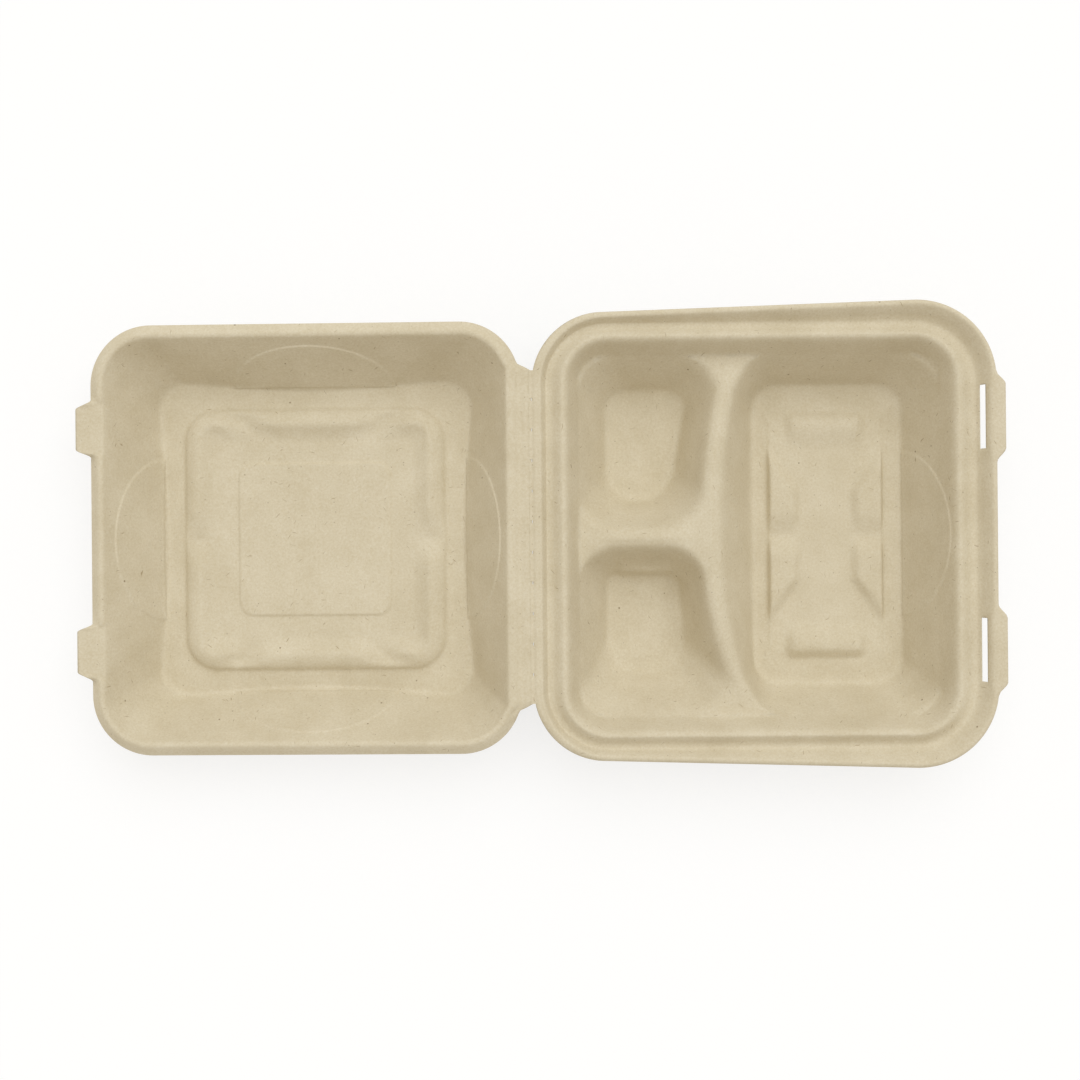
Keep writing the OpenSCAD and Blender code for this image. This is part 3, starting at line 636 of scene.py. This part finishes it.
foot = ceiling_loop(ceiling_half, 16, ceiling_z, 1)
field_rings = [lid_field(d) for d in np.concatenate([[0, 0.4, 0.8, 1.2, 1.8], np.arange(2.6, 19.1, 0.9)])]
body = spline(lid_knots, [3, 4, 4, 4, 4, 4])[:-1] + straight(lid_knots[-1], foot, 20)
body = soften(body + straight(foot, field_rings[0], 12) + field_rings, 2, 20)
panel = [ceiling_loop(h, 7.5, 0, 0) for h in (44, 42, 40.6, 40.2, 39.8, 39.4, 39.0, 38.6, 38.2, 36.5, 34)]
rise = [0, 0, 0, 0.06, 0.28, 0.55, 0.78, 0.88, panel_raise, panel_raise, panel_raise]
body += [put(r, panel_z + z) for r, z in zip(panel, rise)]
body += to_centre(body[-1], lid_u, 0, panel_z + panel_raise, 8)[1:]


def wall_oval(p):
    a, b = abs(p[:, 0] - lid_u), abs(p[:, 1])
    up = np.maximum(a, b) - ceiling_half + 3
    oval = np.hypot(np.minimum(a, b) / 43, np.maximum(up, 2.5) / 19.5)
    return np.where((up > 0.4) & (p[:, 2] < -3), oval, 9)


def opened(p):
    """To the far side of the crease, turned down about it by the droop."""
    c, d, h = math.cos(droop), math.sin(droop), p[:, 2] - axis_z
    x, z = origin_x - p[:, 0] * c - h * d, base_depth + axis_z - p[:, 0] * d + h * c
    return np.column_stack([x, p[:, 1], z])


body_under = under(body, -lid_depth)
body_under[0] = body_under[0] + [0, 0, 0.5] * np.where(body[0][:, 0] < 1, 1, 0)[:, None]
lid_patch = (body, body_under, (lid_u, 0, panel_z + panel_raise), True, None)
lid_shell = shell("lid_shell", [lid_patch], wall_oval, opened, True)
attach(lid_shell, "lid")
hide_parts("lid")

# hinge_strip: the scored crease between the two webs
# The sheet pressed thin to a V-shaped score, in eleven lengths with small nicks cut between them.
# It lies across the crease between the two shells.
section = [(-1.3, -0.08), (-0.7, -0.13), (-0.25, -0.28), (0, -0.34), (0.25, -0.28), (0.7, -0.13),
           (1.3, -0.08), (1.3, -0.6), (0.6, -0.74), (0, -0.78), (-0.6, -0.74), (-1.3, -0.6)]
lengths, pitch, nick = 11, 15.3, 1.4
cuts = np.linspace((nick - pitch) / 2, (pitch - nick) / 2, 7)
n = len(section)
walls = [[k * n + i, k * n + (i + 1) % n, (k + 1) * n + (i + 1) % n, (k + 1) * n + i]
         for k in range(6) for i in range(n)]
piece_mesh = bpy.data.meshes.new("hinge_segment")
piece_mesh.from_pydata([(u * MM, v * MM, z * MM) for v in cuts for u, z in section], [],
                       [*walls, list(range(n))[::-1], list(range(6 * n, 7 * n))])
segment = bpy.data.objects.new("hinge_segment", piece_mesh)
row = bpy.data.node_groups.new("hinge_row", "GeometryNodeTree")
sockets = {}
for label, kind, side in (("Segment", "NodeSocketObject", "INPUT"), ("Count", "NodeSocketInt", "INPUT"),
                          ("Pitch", "NodeSocketVector", "INPUT"), ("Start", "NodeSocketVector", "INPUT"),
                          ("Strip", "NodeSocketGeometry", "OUTPUT")):
    sockets[label] = row.interface.new_socket(label, in_out=side, socket_type=kind).identifier
given = add(row, "NodeGroupInput").outputs
points = add(row, "GeometryNodeMeshLine",
             links=[("Count", given["Count"]), ("Start Location", given["Start"]),
                    ("Offset", given["Pitch"])])
shape = add(row, "GeometryNodeObjectInfo", links=[("Object", given["Segment"])])
placed = add(row, "GeometryNodeInstanceOnPoints",
             links=[("Points", points.outputs[0]), ("Instance", shape.outputs["Geometry"])])
solid = add(row, "GeometryNodeRealizeInstances", links=[(0, placed.outputs[0])])
coat = add(row, "GeometryNodeSetMaterial", [("Material", fibre)], [("Geometry", solid.outputs[0])])
add(row, "NodeGroupOutput", links=[(0, coat.outputs[0])])
hinge_strip = bpy.data.objects.new("hinge_strip", bpy.data.meshes.new("hinge_strip"))
bpy.context.scene.collection.objects.link(hinge_strip)
bpy.context.scene.collection.objects.link(segment)
line_up = hinge_strip.modifiers.new("row", "NODES")
line_up.node_group = row
for label, value in (("Segment", segment), ("Count", lengths), ("Pitch", (0.0, pitch * MM, 0.0)),
                     ("Start", (origin_x * MM, (1 - lengths) / 2 * pitch * MM, base_depth * MM))):
    line_up[sockets[label]] = value
bpy.context.view_layer.update()
done = bpy.data.meshes.new_from_object(hinge_strip.evaluated_get(bpy.context.evaluated_depsgraph_get()))
hinge_strip.modifiers.clear()
hinge_strip.data = done
bpy.data.objects.remove(segment)
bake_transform(hinge_strip)

# floor: white ground that keeps a faint shadow
# White to the camera without more light on the object; a part of its own shading stays, so the shadow shows.
bpy.ops.mesh.primitive_plane_add(size=6, location=(0, 0, 0))
ground = bpy.context.object
ground.name = "ground"
white = bpy.data.materials.new("ground_white")
white.use_nodes = True
g = white.node_tree
g.nodes.clear()
lit = add(g, "ShaderNodeBsdfDiffuse", [("Color", (1, 1, 1, 1))])
glow = add(g, "ShaderNodeEmission", [("Color", (1, 1, 1, 1)), ("Strength", 1.0)])
seen = add(g, "ShaderNodeLightPath")
share = add(g, "ShaderNodeMath", [(1, 0.75)], [(0, seen.outputs["Is Camera Ray"])], operation="MULTIPLY")
both = add(g, "ShaderNodeMixShader",
           links=[("Fac", share.outputs[0]), (1, lit.outputs[0]), (2, glow.outputs[0])])
add(g, "ShaderNodeOutputMaterial", links=[("Surface", both.outputs[0])])
ground.data.materials.append(white)

# light: soft daylight from the upper right of the picture
# A broad sun from +Y and a little +X, with an even pale sky for the shade.
sun_data = bpy.data.lights.new("window", "SUN")
sun_data.energy = 1.55
sun_data.angle = math.radians(60)
sun_data.color = (0.93, 0.97, 1.0)
sun = bpy.data.objects.new("window", sun_data)
bpy.context.scene.collection.objects.link(sun)
sun.rotation_euler = (math.radians(-27), math.radians(9), 0)
world = bpy.data.worlds.new("sky")
bpy.context.scene.world = world
world.use_nodes = True
w = world.node_tree
w.nodes.clear()
sky = add(w, "ShaderNodeBackground", [("Color", (1.0, 0.93, 0.82, 1)), ("Strength", 0.62)])
plain = add(w, "ShaderNodeBackground", [("Color", (1, 1, 1, 1)), ("Strength", 1.0)])
ray = add(w, "ShaderNodeLightPath")
mix = add(w, "ShaderNodeMixShader",
          links=[("Fac", ray.outputs["Is Camera Ray"]), (1, sky.outputs[0]), (2, plain.outputs[0])])
add(w, "ShaderNodeOutputWorld", links=[("Surface", mix.outputs[0])])

# camera: straight above, as in the photograph
# 540 mm of the rim plane fill the picture; the picture is turned by half a degree.
cam_data = bpy.data.cameras.new("camera")
cam_data.lens = 60
cam_data.sensor_width = 36
camera = bpy.data.objects.new("camera", cam_data)
bpy.context.scene.collection.objects.link(camera)
camera.location = ((origin_x + 3.75) * MM, -1.5 * MM, (base_depth + 900) * MM)
camera.rotation_euler = (0, 0, math.radians(-0.5))
bpy.context.scene.camera = camera

bpy.context.scene.view_settings.view_transform = "Standard"
